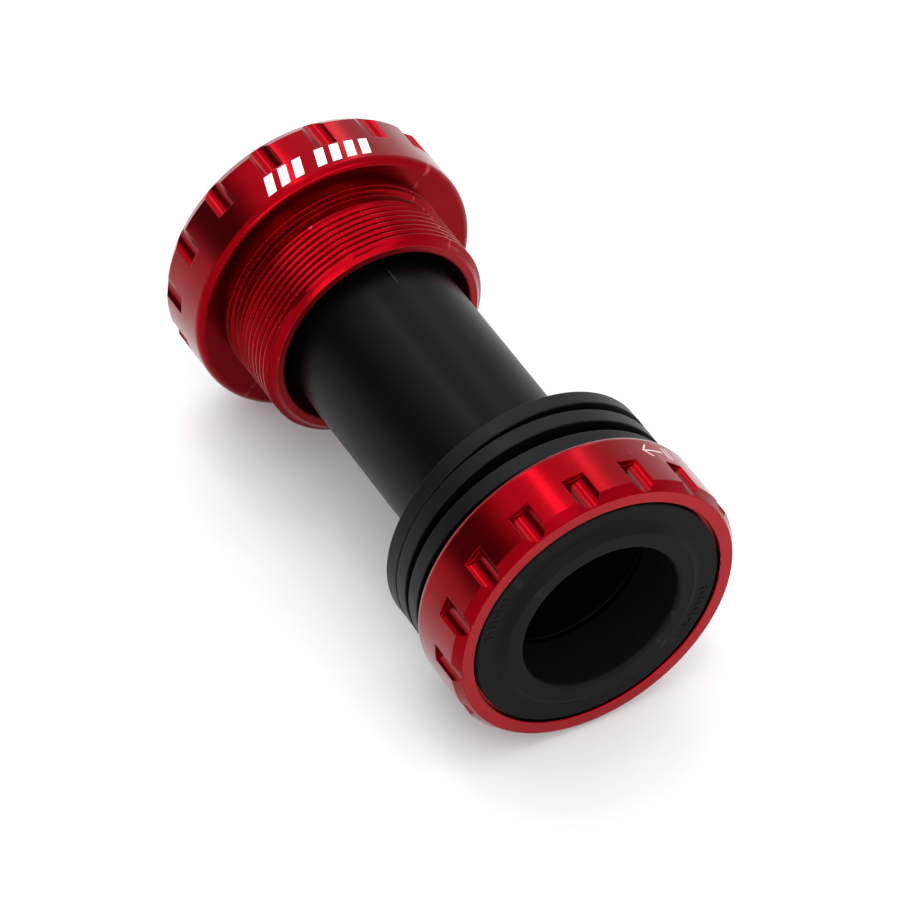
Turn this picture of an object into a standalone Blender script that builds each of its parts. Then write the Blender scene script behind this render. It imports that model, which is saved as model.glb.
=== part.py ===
"""External-cup bottom bracket for a 24 mm crank spindle, in metres, +Z up.

The spindle axis is the Y axis. The drive side is at -Y, the non-drive side at +Y.
The origin is on the axis, midway between the two outer faces.

Each side is modelled once in its own depth frame: local +Z runs inwards from the
cup's outer face along the spindle axis, so one set of functions makes both sides.
"""

from math import cos, pi, radians, sin, sqrt

import bmesh
import bpy
from mathutils import Matrix, Vector

MM = 0.001
BALL_COUNT = 15
NOTCH_COUNT = 16

# Whole assembly, mm, and how finely its round pieces are divided.
FACE_TO_FACE = 84.5
OUTER_SEGMENTS = 48
INNER_SEGMENTS = 32
SHARP_ANGLE = radians(30)

# Cup, mm. The flange is what the wrench grips, the nose is the threaded end.
FLANGE_RADIUS = 22.0
FACE_RADIUS = 21.1
FACE_CHAMFER_DEPTH = 1.4
SHOULDER_ROUND = 1.0
FLANGE_LENGTH = 11.05
NOSE_LENGTH = 12.4
NOSE_LEAD_RADIUS = 16.7
NOSE_TIP_CHAMFER = 0.6
NOSE_BORE = 14.85
THREAD_RADIUS = 17.4
THREAD_ROOT = 16.8
THREAD_PITCH = 25.4 / 24
THREAD_TURNS = 7
THREAD_START = 3.0
THREAD_RUNOUT = 0.5
COLLAR_LENGTH = 0.95
RELIEF_RADIUS = 16.6
RELIEF_RAMP = 0.3
SEAT_RADIUS = 18.5
SEAT_DEPTH = 8.4
RECESS_RADIUS = 19.2
RECESS_DEPTH = 1.05
RECESS_MOUTH_CHAMFER = 0.12
LEDGE_RADIUS = 17.0
LEDGE_DEPTH = 9.2

# Wrench notches, mm and degrees. The phase is measured from +Z towards +X.
NOTCH_CUTTER_RADIUS = 2.15
NOTCH_CUTTER_CENTRE = 23.3
NOTCH_DEPTH = 5.7
NOTCH_OVERRUN = 1.0
NOTCH_SIDES = 12
NOTCH_PHASE = {"drive": -3.1, "non_drive": 4.8}

# Bearing, 25 x 37 x 7 mm.
BEARING_FRONT = 1.15
BEARING_WIDTH = 7.0
OUTER_RING_RADIUS = 18.35
OUTER_LAND = 16.75
INNER_LAND = 14.25
INNER_RING_BORE = 12.6
PITCH_RADIUS = 15.5
BALL_RADIUS = 1.75
GROOVE_RADIUS = 1.87
GROOVE_FLAT = 0.4
SEAL_RECESS_RADIUS = 17.25
SEAL_RECESS_DEPTH = 0.8
SEAL_THICKNESS = 0.5
SEAL_GAP = 0.15
CAGE_THICKNESS = 1.2
CAGE_FRONT = 4.0
CAGE_BACK = 7.1
POCKET_RADIUS = 1.95
POCKET_SIDES = 10

# Bearing cap with its hub that lines the bearing down to the 24 mm spindle, mm.
SPINDLE_BORE = 12.05
HUB_RADIUS = 12.4
HUB_END = 8.4
CAP_RADIUS = 18.8
CAP_FRONT = 0.1
CAP_BACK = 0.85
CAP_BOSS_BACK = 1.0
COLLAR_FRONT = -0.9
COLLAR_RADIUS = 14.7
COLLAR_FOOT_RADIUS = 15.8
CAP_EDGE = 0.25
BORE_LEAD_IN = 0.6

# Sleeve between the cups, mm, with depths from the drive side's outer face.
SLEEVE_BORE = 12.4
SLEEVE_RADIUS = 13.25
SLEEVE_COLLAR_RADIUS = 14.35
SLEEVE_START = 9.5
SLEEVE_COLLAR_END = 26.55
SLEEVE_BEAD_START = 71.0
SLEEVE_END = 75.0
SLEEVE_EDGE = 0.3
O_RING_DEPTHS = {"drive": 14.0, "non_drive": 73.0}
O_RING_GROOVE_WIDTH = 1.7
O_RING_GROOVE_RADIUS = 13.1
O_RING_RADIUS = 14.1
O_RING_SECTION = 0.65
O_RING_SIDES = 6

# Shell spacers, loose on the drive side's nose: depth in mm from the drive side's
# outer face, then the lean about the X and Z axes in degrees.
SPACER_BORE = 17.7
SPACER_RADIUS = 20.8
SPACER_WIDTH = 2.5
SPACER_EDGE = 0.16
SPACERS = {
    "spacer_inner": (13.35, 2.0, -2.0),
    "spacer_middle": (16.9, -0.4, -1.0),
    "spacer_outer": (20.8, 1.1, 2.2),
}


def clear_scene():
    for scene_object in list(bpy.data.objects):
        bpy.data.objects.remove(scene_object, do_unlink=True)


def make_collection(name):
    collection = bpy.data.collections.new(name)
    bpy.context.scene.collection.children.link(collection)
    return collection


def make_material(name, colour, roughness, metallic):
    material = bpy.data.materials.new(name)
    material.use_nodes = True
    shader = material.node_tree.nodes["Principled BSDF"]
    shader.inputs["Base Color"].default_value = (*colour, 1.0)
    shader.inputs["Roughness"].default_value = roughness
    shader.inputs["Metallic"].default_value = metallic
    return material


def anodised_red():
    return make_material("anodised_red", (0.42, 0.006, 0.014), 0.28, 1.0)


def sleeve_black():
    return make_material("sleeve_black", (0.012, 0.012, 0.013), 0.42, 0.0)


def spacer_black():
    return make_material("spacer_black", (0.015, 0.015, 0.016), 0.55, 0.0)


def cap_black():
    return make_material("cap_black", (0.019, 0.019, 0.019), 0.5, 0.0)


def bearing_steel():
    return make_material("bearing_steel", (0.62, 0.62, 0.63), 0.22, 1.0)


def ball_steel():
    return make_material("ball_steel", (0.72, 0.72, 0.73), 0.08, 1.0)


def cage_nylon():
    return make_material("cage_nylon", (0.55, 0.5, 0.4), 0.5, 0.0)


def seal_rubber():
    return make_material("seal_rubber", (0.02, 0.02, 0.022), 0.65, 0.0)


def o_ring_rubber():
    return make_material("o_ring_rubber", (0.013, 0.013, 0.013), 0.6, 0.0)


def place(part, parent, collection, material):
    """Gives the part its material and its parent, and puts it in its collection."""
    collection.objects.link(part)
    part.parent = parent
    if material is not None:
        part.data.materials.append(material)
    return part


def signed_area(outline):
    pairs = zip(outline, outline[1:] + outline[:1])
    return sum(r0 * z1 - r1 * z0 for (r0, z0), (r1, z1) in pairs) / 2


def turned(name, outline, segments, parent, collection, material):
    """A turned piece: a closed outline of (radius, depth) in mm, spun about local Z."""
    if signed_area(outline) > 0:
        outline = outline[::-1]
    mesh = bpy.data.meshes.new(name)
    points = [(r * MM, 0.0, z * MM) for r, z in outline]
    count = len(points)
    mesh.from_pydata(points, [(i, (i + 1) % count) for i in range(count)], [])
    part = place(bpy.data.objects.new(name, mesh), parent, collection, material)
    screw = part.modifiers.new("turn", "SCREW")
    screw.steps = segments
    screw.render_steps = segments
    screw.use_merge_vertices = True
    screw.merge_threshold = 0.00001
    return part


def cut(part, cutter, name):
    boolean = part.modifiers.new(name, "BOOLEAN")
    boolean.operation = "DIFFERENCE"
    boolean.solver = "EXACT"
    boolean.object = cutter


def smooth_round_pieces(collection):
    """Applies each turned piece's modifiers, then shades it smooth between its edges."""
    for part in collection.objects:
        if part.type == "MESH" and part.modifiers:
            evaluated = part.evaluated_get(bpy.context.evaluated_depsgraph_get())
            mesh = bpy.data.meshes.new_from_object(evaluated)
            part.modifiers.clear()
            part.data = mesh
            mesh.shade_smooth()
            mesh.set_sharp_from_angle(angle=SHARP_ANGLE)


def cutter_object(name, tools, parent, collection):
    """A wire-drawn cutter made from a bmesh of closed tools."""
    mesh = bpy.data.meshes.new(name)
    tools.to_mesh(mesh)
    tools.free()
    cutter = place(bpy.data.objects.new(name, mesh), parent, collection, None)
    cutter.hide_render = True
    cutter.display_type = "WIRE"
    return cutter


def add_cylinder(tools, radius, length, sides, matrix):
    bmesh.ops.create_cone(
        tools, cap_ends=True, segments=sides, radius1=radius * MM, radius2=radius * MM,
        depth=length * MM, matrix=matrix)


def arc(centre, radius, start, end, steps):
    """Points on an arc in the (radius, depth) plane, angles in degrees."""
    angles = [radians(start + (end - start) * i / steps) for i in range(steps + 1)]
    return [(centre[0] + radius * cos(a), centre[1] + radius * sin(a)) for a in angles]


def thread_outline(start):
    """The 24-per-inch thread as rings, crest to root, from the shoulder end outwards."""
    points = []
    for turn in range(THREAD_TURNS):
        crest = start + turn * THREAD_PITCH
        points.append((THREAD_RADIUS, crest))
        points.append((THREAD_ROOT, crest + THREAD_PITCH / 2))
    points.append((THREAD_RADIUS, start + THREAD_TURNS * THREAD_PITCH))
    return points


def cup_outline():
    shoulder = FLANGE_LENGTH
    nose_end = shoulder + NOSE_LENGTH
    thread_end = shoulder + THREAD_START + THREAD_TURNS * THREAD_PITCH
    round_centre = (FLANGE_RADIUS - SHOULDER_ROUND, shoulder - SHOULDER_ROUND)
    face = [
        (RECESS_RADIUS + RECESS_MOUTH_CHAMFER, 0.0),
        (FACE_RADIUS, 0.0),
        (FLANGE_RADIUS, FACE_CHAMFER_DEPTH),
    ]
    nose_base = [
        (THREAD_RADIUS, shoulder),
        (THREAD_RADIUS, shoulder + COLLAR_LENGTH),
        (RELIEF_RADIUS, shoulder + COLLAR_LENGTH + RELIEF_RAMP),
        (RELIEF_RADIUS, shoulder + THREAD_START - RELIEF_RAMP),
    ]
    nose_tip = [
        (NOSE_LEAD_RADIUS, thread_end + THREAD_RUNOUT),
        (NOSE_LEAD_RADIUS, nose_end - NOSE_TIP_CHAMFER),
        (NOSE_LEAD_RADIUS - NOSE_TIP_CHAMFER, nose_end),
        (NOSE_BORE, nose_end),
        (NOSE_BORE, LEDGE_DEPTH),
    ]
    seat = [
        (LEDGE_RADIUS, LEDGE_DEPTH),
        (LEDGE_RADIUS, SEAT_DEPTH),
        (SEAT_RADIUS, SEAT_DEPTH),
        (SEAT_RADIUS, RECESS_DEPTH),
        (RECESS_RADIUS, RECESS_DEPTH),
        (RECESS_RADIUS, RECESS_MOUTH_CHAMFER),
    ]
    return (face + arc(round_centre, SHOULDER_ROUND, 0, 90, 2) + nose_base
            + thread_outline(shoulder + THREAD_START) + nose_tip + seat)


def local_angle(side, phase):
    """Turns an angle from +Z towards +X into one about the side's own local Z."""
    return phase - 90 if side == "drive" else 90 - phase


def notch_cutter(side, parent, collection):
    """Sixteen round-bottomed grooves that run in from the outer face."""
    tools = bmesh.new()
    length = NOTCH_DEPTH + NOTCH_OVERRUN
    for index in range(NOTCH_COUNT):
        angle = radians(local_angle(side, NOTCH_PHASE[side]) + index * 360 / NOTCH_COUNT)
        centre = Vector((NOTCH_CUTTER_CENTRE * MM, 0, (length / 2 - NOTCH_OVERRUN) * MM))
        matrix = Matrix.Rotation(angle, 4, "Z") @ Matrix.Translation(centre)
        add_cylinder(tools, NOTCH_CUTTER_RADIUS, length, NOTCH_SIDES, matrix)
    return cutter_object(side + "_notch_cutter", tools, parent, collection)


def make_cup(side, parent, parts, cutters, material):
    cup = turned(side + "_cup", cup_outline(), OUTER_SEGMENTS, parent, parts, material)
    cut(cup, notch_cutter(side, parent, cutters), "notches")
    return cup


def bearing_middle():
    return BEARING_FRONT + BEARING_WIDTH / 2


def groove(land, outward):
    """The raceway across a land, front to back, with a short flat at its bottom."""
    middle = bearing_middle()
    half = sqrt(GROOVE_RADIUS ** 2 - (land - PITCH_RADIUS) ** 2)
    bottom = PITCH_RADIUS + (GROOVE_RADIUS if outward else -GROOVE_RADIUS)
    flat = GROOVE_RADIUS * GROOVE_FLAT
    return [
        (land, middle - half),
        (bottom, middle - flat),
        (bottom, middle + flat),
        (land, middle + half),
    ]


def make_outer_ring(side, parent, parts, material):
    back = BEARING_FRONT + BEARING_WIDTH
    front_recess = BEARING_FRONT + SEAL_RECESS_DEPTH
    back_recess = back - SEAL_RECESS_DEPTH
    outline = [
        (OUTER_RING_RADIUS, BEARING_FRONT),
        (SEAL_RECESS_RADIUS, BEARING_FRONT),
        (SEAL_RECESS_RADIUS, front_recess),
        (OUTER_LAND, front_recess),
        *groove(OUTER_LAND, True),
        (OUTER_LAND, back_recess),
        (SEAL_RECESS_RADIUS, back_recess),
        (SEAL_RECESS_RADIUS, back),
        (OUTER_RING_RADIUS, back),
    ]
    return turned(side + "_bearing_outer_ring", outline, INNER_SEGMENTS, parent, parts, material)


def make_inner_ring(side, parent, parts, material):
    back = BEARING_FRONT + BEARING_WIDTH
    outline = [
        (INNER_RING_BORE, BEARING_FRONT),
        (INNER_LAND, BEARING_FRONT),
        *groove(INNER_LAND, False),
        (INNER_LAND, back),
        (INNER_RING_BORE, back),
    ]
    return turned(side + "_bearing_inner_ring", outline, INNER_SEGMENTS, parent, parts, material)


def ball_angle(index):
    return 2 * pi * index / BALL_COUNT


def make_balls(side, parent, parts, material):
    sphere = bmesh.new()
    bmesh.ops.create_icosphere(sphere, subdivisions=2, radius=BALL_RADIUS * MM)
    mesh = bpy.data.meshes.new(side + "_ball")
    sphere.to_mesh(mesh)
    sphere.free()
    mesh.shade_smooth()
    mesh.materials.append(material)
    for index in range(BALL_COUNT):
        name = f"{side}_ball_{index + 1:02d}"
        ball = place(bpy.data.objects.new(name, mesh), parent, parts, None)
        angle = ball_angle(index)
        across = PITCH_RADIUS * MM
        ball.location = (across * cos(angle), across * sin(angle), bearing_middle() * MM)


def pocket_cutter(side, parent, collection):
    """Round pockets for the balls, each bored along its own radius."""
    tools = bmesh.new()
    for index in range(BALL_COUNT):
        centre = Vector((PITCH_RADIUS * MM, 0, bearing_middle() * MM))
        matrix = (Matrix.Rotation(ball_angle(index), 4, "Z") @ Matrix.Translation(centre)
                  @ Matrix.Rotation(pi / 2, 4, "Y") @ Matrix.Rotation(pi / POCKET_SIDES, 4, "Z"))
        add_cylinder(tools, POCKET_RADIUS, 3 * CAGE_THICKNESS, POCKET_SIDES, matrix)
    return cutter_object(side + "_pocket_cutter", tools, parent, collection)


def make_cage(side, parent, parts, cutters, material):
    """A snap-in crown cage: a back rim with horns that stand between the balls."""
    inside = PITCH_RADIUS - CAGE_THICKNESS / 2
    outside = PITCH_RADIUS + CAGE_THICKNESS / 2
    outline = [
        (inside, CAGE_FRONT), (outside, CAGE_FRONT),
        (outside, CAGE_BACK), (inside, CAGE_BACK),
    ]
    cage = turned(side + "_bearing_cage", outline, 2 * BALL_COUNT, parent, parts, material)
    cut(cage, pocket_cutter(side, parent, cutters), "pockets")
    return cage


def make_seals(side, parent, parts, material):
    """Rubber washers in the outer ring's recesses, one at each end of the bearing."""
    inside = INNER_LAND + SEAL_GAP
    outside = SEAL_RECESS_RADIUS - 2 * SEAL_GAP
    fronts = {
        "outboard": BEARING_FRONT + SEAL_GAP,
        "inboard": BEARING_FRONT + BEARING_WIDTH - SEAL_GAP - SEAL_THICKNESS,
    }
    for place_name, front in fronts.items():
        outline = [
            (inside, front), (outside, front),
            (outside, front + SEAL_THICKNESS), (inside, front + SEAL_THICKNESS),
        ]
        name = f"{side}_{place_name}_seal"
        turned(name, outline, INNER_SEGMENTS, parent, parts, material)


def make_cap(side, parent, parts, material):
    """The dust cap: a flat annulus, a proud collar and the hub through the bearing."""
    boss_radius = INNER_LAND + SEAL_GAP
    outline = [
        (SPINDLE_BORE, HUB_END),
        (SPINDLE_BORE, COLLAR_FRONT + BORE_LEAD_IN),
        (SPINDLE_BORE + BORE_LEAD_IN, COLLAR_FRONT),
        (COLLAR_RADIUS, COLLAR_FRONT),
        (COLLAR_FOOT_RADIUS, CAP_FRONT),
        (CAP_RADIUS - CAP_EDGE, CAP_FRONT),
        (CAP_RADIUS, CAP_FRONT + CAP_EDGE),
        (CAP_RADIUS, CAP_BACK),
        (boss_radius, CAP_BACK),
        (boss_radius, CAP_BOSS_BACK),
        (HUB_RADIUS, CAP_BOSS_BACK),
        (HUB_RADIUS, HUB_END),
    ]
    return turned(side + "_bearing_cap", outline, OUTER_SEGMENTS, parent, parts, material)


def o_ring_groove(centre):
    half = O_RING_GROOVE_WIDTH / 2
    return [
        (SLEEVE_COLLAR_RADIUS, centre - half),
        (O_RING_GROOVE_RADIUS, centre - half),
        (O_RING_GROOVE_RADIUS, centre + half),
        (SLEEVE_COLLAR_RADIUS, centre + half),
    ]


def make_sleeve(parent, parts, material):
    """The tube that joins the cups: a long collar at the drive end, a bead at the other."""
    outline = [
        (SLEEVE_BORE, SLEEVE_START),
        (SLEEVE_COLLAR_RADIUS - SLEEVE_EDGE, SLEEVE_START),
        (SLEEVE_COLLAR_RADIUS, SLEEVE_START + SLEEVE_EDGE),
        *o_ring_groove(O_RING_DEPTHS["drive"]),
        (SLEEVE_COLLAR_RADIUS, SLEEVE_COLLAR_END - SLEEVE_EDGE),
        (SLEEVE_COLLAR_RADIUS - SLEEVE_EDGE, SLEEVE_COLLAR_END),
        (SLEEVE_RADIUS, SLEEVE_COLLAR_END),
        (SLEEVE_RADIUS, SLEEVE_BEAD_START),
        (SLEEVE_COLLAR_RADIUS, SLEEVE_BEAD_START + SLEEVE_EDGE),
        *o_ring_groove(O_RING_DEPTHS["non_drive"]),
        (SLEEVE_COLLAR_RADIUS, SLEEVE_END - SLEEVE_EDGE),
        (SLEEVE_COLLAR_RADIUS - SLEEVE_EDGE, SLEEVE_END),
        (SLEEVE_BORE, SLEEVE_END),
    ]
    return turned("sleeve", outline, INNER_SEGMENTS, parent, parts, material)


def make_o_rings(parent, parts, material):
    for side, depth in O_RING_DEPTHS.items():
        outline = arc((O_RING_RADIUS, depth), O_RING_SECTION, 0, 360, O_RING_SIDES)[:-1]
        turned(side + "_sleeve_o_ring", outline, INNER_SEGMENTS, parent, parts, material)


def make_spacers(parent, parts, material):
    half = SPACER_WIDTH / 2
    outline = [
        (SPACER_BORE, -half),
        (SPACER_RADIUS - SPACER_EDGE, -half),
        (SPACER_RADIUS, -half + SPACER_EDGE),
        (SPACER_RADIUS, half - SPACER_EDGE),
        (SPACER_RADIUS - SPACER_EDGE, half),
        (SPACER_BORE, half),
    ]
    for name, (depth, lean_x, lean_z) in SPACERS.items():
        spacer = turned(name, outline, OUTER_SEGMENTS, parent, parts, material)
        spacer.location = (0, 0, depth * MM)
        # Local Y is world -Z here, so a lean about world Z turns about local -Y.
        spacer.rotation_euler = (radians(lean_x), radians(-lean_z), 0)


def side_frame(side, collection):
    """An empty on the axis at the side's outer face, local +Z pointing inwards."""
    frame = bpy.data.objects.new(side + "_frame", None)
    collection.objects.link(frame)
    outwards = -1 if side == "drive" else 1
    frame.location = (0, outwards * FACE_TO_FACE / 2 * MM, 0)
    frame.rotation_euler = (outwards * pi / 2, 0, 0)
    return frame


def main():
    clear_scene()
    parts = make_collection("bottom_bracket")
    cutters = make_collection("cutters")
    red = anodised_red()
    steel = bearing_steel()
    balls = ball_steel()
    nylon = cage_nylon()
    rubber = seal_rubber()
    caps = cap_black()
    for side in NOTCH_PHASE:
        frame = side_frame(side, parts)
        make_cup(side, frame, parts, cutters, red)
        make_outer_ring(side, frame, parts, steel)
        make_inner_ring(side, frame, parts, steel)
        make_balls(side, frame, parts, balls)
        make_cage(side, frame, parts, cutters, nylon)
        make_seals(side, frame, parts, rubber)
        make_cap(side, frame, parts, caps)
        if side == "drive":
            drive_frame = frame
    make_sleeve(drive_frame, parts, sleeve_black())
    make_o_rings(drive_frame, parts, o_ring_rubber())
    make_spacers(drive_frame, parts, spacer_black())
    smooth_round_pieces(parts)


main()
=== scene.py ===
from math import acos, atan2, cos, degrees, pi, radians, sin, tan

import bmesh
import bpy
import numpy as np
from mathutils import Matrix, Vector


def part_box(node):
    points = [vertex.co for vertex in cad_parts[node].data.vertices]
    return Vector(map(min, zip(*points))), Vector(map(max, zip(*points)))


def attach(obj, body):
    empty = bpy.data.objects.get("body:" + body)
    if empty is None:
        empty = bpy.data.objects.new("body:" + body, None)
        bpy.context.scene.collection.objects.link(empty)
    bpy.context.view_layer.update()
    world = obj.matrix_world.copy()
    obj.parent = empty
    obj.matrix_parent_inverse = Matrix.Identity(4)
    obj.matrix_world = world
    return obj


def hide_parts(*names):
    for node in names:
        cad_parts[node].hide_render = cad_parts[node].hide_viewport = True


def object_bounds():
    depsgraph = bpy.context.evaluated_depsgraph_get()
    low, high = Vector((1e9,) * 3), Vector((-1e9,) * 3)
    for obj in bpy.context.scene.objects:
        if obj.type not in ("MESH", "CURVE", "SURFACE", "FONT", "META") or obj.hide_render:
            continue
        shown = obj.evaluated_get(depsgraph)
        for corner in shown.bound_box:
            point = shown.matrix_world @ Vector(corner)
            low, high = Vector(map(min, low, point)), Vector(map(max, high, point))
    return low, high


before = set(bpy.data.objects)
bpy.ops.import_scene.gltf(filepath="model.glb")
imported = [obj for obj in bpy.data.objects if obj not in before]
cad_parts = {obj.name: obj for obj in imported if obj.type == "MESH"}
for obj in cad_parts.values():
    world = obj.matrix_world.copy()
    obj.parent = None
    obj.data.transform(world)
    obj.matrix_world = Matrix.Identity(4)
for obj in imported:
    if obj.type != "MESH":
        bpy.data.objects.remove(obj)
cad_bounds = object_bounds()

# Lengths of the object are in mm in each side's depth frame: local +Z runs inwards along
# the spindle axis from the cup's outer face. Lights, floor and camera are in metres.
MM = 0.001
SIDES = ("drive", "non_drive")
OUTWARDS = {"drive": -1, "non_drive": 1}
THREAD_HAND = {"drive": -1, "non_drive": 1}


def node_size(node):
    """A CAD node's lowest and highest corners in mm."""
    low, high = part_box(node)
    return low / MM, high / MM


CUP_BOX = {side: node_size(side + "_cup") for side in SIDES}
FACE_Y = {"drive": CUP_BOX["drive"][0].y, "non_drive": CUP_BOX["non_drive"][1].y}
CUP_LENGTH = {side: CUP_BOX[side][1].y - CUP_BOX[side][0].y for side in SIDES}
SLEEVE_BOX = node_size("sleeve")

# Cup.
FLANGE_RADIUS = CUP_BOX["drive"][1].x
FACE_RADIUS = FLANGE_RADIUS - 0.9
FACE_CHAMFER_DEPTH = 1.4
SHOULDER_ROUND = 1.0
NOSE_LENGTH = 12.4
NOSE_BORE = 14.85
NOSE_FACE_RADIUS = 16.1
NOSE_TIP_CHAMFER = 0.6
THREAD_RADIUS = 17.4
THREAD_DEPTH = 0.62
THREAD_PITCH = 25.4 / 24
THREAD_START = 3.0
COLLAR_LENGTH = 0.95
RELIEF_RADIUS = 16.6
RELIEF_RAMP = 0.3
SEAT_RADIUS = 18.5
SEAT_DEPTH = 8.4
RECESS_RADIUS = 19.2
RECESS_DEPTH = 1.05
RECESS_MOUTH_CHAMFER = 0.12
LEDGE_RADIUS = 17.0
LEDGE_DEPTH = 9.2
EDGE_ROUND = 0.09

# Wrench notches.
NOTCH_COUNT = 16
NOTCH_PITCH = 2 * pi / NOTCH_COUNT
NOTCH_CUTTER_RADIUS = 2.15
NOTCH_CUTTER_CENTRE = FLANGE_RADIUS + 1.3
NOTCH_DEPTH = 5.7
NOTCH_EDGE_ROUND = 0.12
NOTCH_PHASE = {"drive": -3.1, "non_drive": 4.8}

# Bearing.
BALL_COUNT = 15
BEARING_FRONT = 1.15
BEARING_WIDTH = 7.0
BEARING_BACK = BEARING_FRONT + BEARING_WIDTH
BEARING_MIDDLE = BEARING_FRONT + BEARING_WIDTH / 2
OUTER_RING_RADIUS = 18.35
OUTER_LAND = 16.75
INNER_LAND = 14.25
INNER_RING_BORE = 12.6
PITCH_RADIUS = 15.5
BALL_RADIUS = 1.75
GROOVE_RADIUS = 1.87
SEAL_RECESS_RADIUS = 17.25
SEAL_RECESS_DEPTH = 0.8
SEAL_THICKNESS = 0.5
SEAL_GAP = 0.15
SEAL_RIM = 0.5
SEAL_WAIST = 0.15
SEAL_ROUND = 0.06
CAGE_THICKNESS = 1.2
CAGE_FRONT = 4.0
CAGE_BACK = 7.1
POCKET_RADIUS = 1.95
RING_EDGE = 0.15

# Cap.
SPINDLE_BORE = 12.05
HUB_RADIUS = 12.4
HUB_END = 8.4
CAP_RADIUS = 18.8
CAP_FRONT = 0.1
CAP_BACK = 0.85
CAP_BOSS_BACK = 1.0
CAP_BOSS_RADIUS = INNER_LAND + SEAL_GAP
COLLAR_FRONT = -0.9
COLLAR_RADIUS = 14.7
COLLAR_FOOT_RADIUS = 15.8

# Sleeve and its O-rings, with depths from the drive side's outer face.
SLEEVE_BORE = 12.4
SLEEVE_RADIUS = 13.25
SLEEVE_COLLAR_RADIUS = SLEEVE_BOX[1].x
SLEEVE_START = SLEEVE_BOX[0].y - FACE_Y["drive"]
SLEEVE_END = SLEEVE_BOX[1].y - FACE_Y["drive"]
SLEEVE_COLLAR_END = 26.55
SLEEVE_BEAD_START = 71.0
O_RING_DEPTHS = {"drive": 14.0, "non_drive": 73.0}
O_RING_GROOVE_WIDTH = 1.7
O_RING_GROOVE_RADIUS = 13.1
O_RING_RADIUS = 14.1
O_RING_SECTION = 0.65

# Spacers.
SPACER_BORE = 17.7
SPACER_RADIUS = 20.8
SPACER_WIDTH = 2.5
SPACER_EDGE = 0.16

CORNER_SUPPORT = 0.15
ROUND_SEGMENTS = 256
INNER_SEGMENTS = 128


# ---------------------------------------------------------------- shapes

def depth_frame(side):
    """From the side's depth frame in mm to the world in metres."""
    place = Matrix.Translation((0, FACE_Y[side] * MM, 0))
    return place @ Matrix.Rotation(OUTWARDS[side] * pi / 2, 4, "X") @ Matrix.Scale(MM, 4)


def local_angle(side, angle):
    """Turns an angle in degrees from +Z towards +X into one about the side's local Z."""
    return radians(angle - 90) if side == "drive" else radians(90 - angle)


def arc(centre, radius, start, end, steps):
    """Points on an arc in the (radius, depth) plane, angles in degrees."""
    angles = [radians(start + (end - start) * i / steps) for i in range(steps + 1)]
    return [(centre[0] + radius * cos(a), centre[1] + radius * sin(a)) for a in angles]


def rounded(outline, steps=3):
    """Rounds the corners of a closed outline of (radius, depth, rounding, zone).

    The zone is the material index of the stretch that follows the corner. Every rounded
    corner gives the same number of points, also where it is too small to round: those of
    its arc and one on either side that keep the flats beside it flat.
    """
    points = []
    for index, (r, z, rounding, zone) in enumerate(outline):
        corner = Vector((r, z))
        zone_before = outline[index - 1][3]
        before = Vector(outline[index - 1][:2]) - corner
        after = Vector(outline[(index + 1) % len(outline)][:2]) - corner
        room = 0.48 * min(before.length, after.length)
        if rounding == 0:
            points.append((r, z, zone))
            continue
        turn = before.angle(after) if room > 1e-6 else pi
        if turn > 3.1:
            points.extend([(r, z, zone)] * (steps + 3))
            continue
        reach = min(rounding / tan(turn / 2), room)
        radius = reach * tan(turn / 2)
        middle = (before.normalized() + after.normalized()).normalized()
        centre = corner + middle * (radius / sin(turn / 2))
        first = corner + before.normalized() * reach - centre
        last = corner + after.normalized() * reach - centre
        sweep = first.angle_signed(last)
        ahead = corner + before.normalized() * min(reach + CORNER_SUPPORT, 0.49 * before.length)
        beyond = corner + after.normalized() * min(reach + CORNER_SUPPORT, 0.49 * after.length)
        points.append((ahead.x, ahead.y, zone_before))
        for step in range(steps + 1):
            spoke = first.copy()
            spoke.rotate(Matrix.Rotation(-sweep * step / steps, 2))
            points.append((centre.x + spoke.x, centre.y + spoke.y, zone))
        points.append((beyond.x, beyond.y, zone))
    return points


def new_piece(name, mesh, materials):
    piece = bpy.data.objects.new(name, mesh)
    bpy.context.scene.collection.objects.link(piece)
    for material in materials:
        mesh.materials.append(material)
    return piece


def finish_mesh(piece, sharp=35):
    """Bakes the modifiers, and shades the flats flat and the rounds round."""
    weighted = piece.modifiers.new("weighted", "WEIGHTED_NORMAL")
    weighted.keep_sharp = True
    weighted.weight = 80
    piece.data.shade_smooth()
    piece.data.set_sharp_from_angle(angle=radians(sharp))
    evaluated = piece.evaluated_get(bpy.context.evaluated_depsgraph_get())
    mesh = bpy.data.meshes.new_from_object(evaluated)
    piece.modifiers.clear()
    piece.data = mesh
    return piece


def swept(name, columns, matrix, materials):
    """A closed solid from columns of (angle, closed outline of (radius, depth, zone))."""
    solid = bmesh.new()
    grid = []
    for angle, outline in columns:
        grid.append([solid.verts.new((r * cos(angle), r * sin(angle), z)) for r, z, _ in outline])
    count = len(grid[0])
    zones = [zone for _, _, zone in columns[0][1]]
    for left, right in zip(grid, grid[1:]):
        for row in range(count):
            beyond = (row + 1) % count
            face = solid.faces.new((left[row], right[row], right[beyond], left[beyond]))
            face.material_index = zones[row]
    bmesh.ops.remove_doubles(solid, verts=solid.verts, dist=0.0008)
    bmesh.ops.recalc_face_normals(solid, faces=solid.faces)
    solid.transform(matrix)
    mesh = bpy.data.meshes.new(name)
    solid.to_mesh(mesh)
    solid.free()
    return new_piece(name, mesh, materials)


def turned(name, outline, matrix, materials, segments=ROUND_SEGMENTS, sharp=35):
    """A turned piece from a closed outline of (radius, depth, rounding, zone)."""
    points = rounded(outline)
    columns = [(2 * pi * i / segments, points) for i in range(segments + 1)]
    return finish_mesh(swept(name, columns, matrix, materials), sharp)


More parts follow.
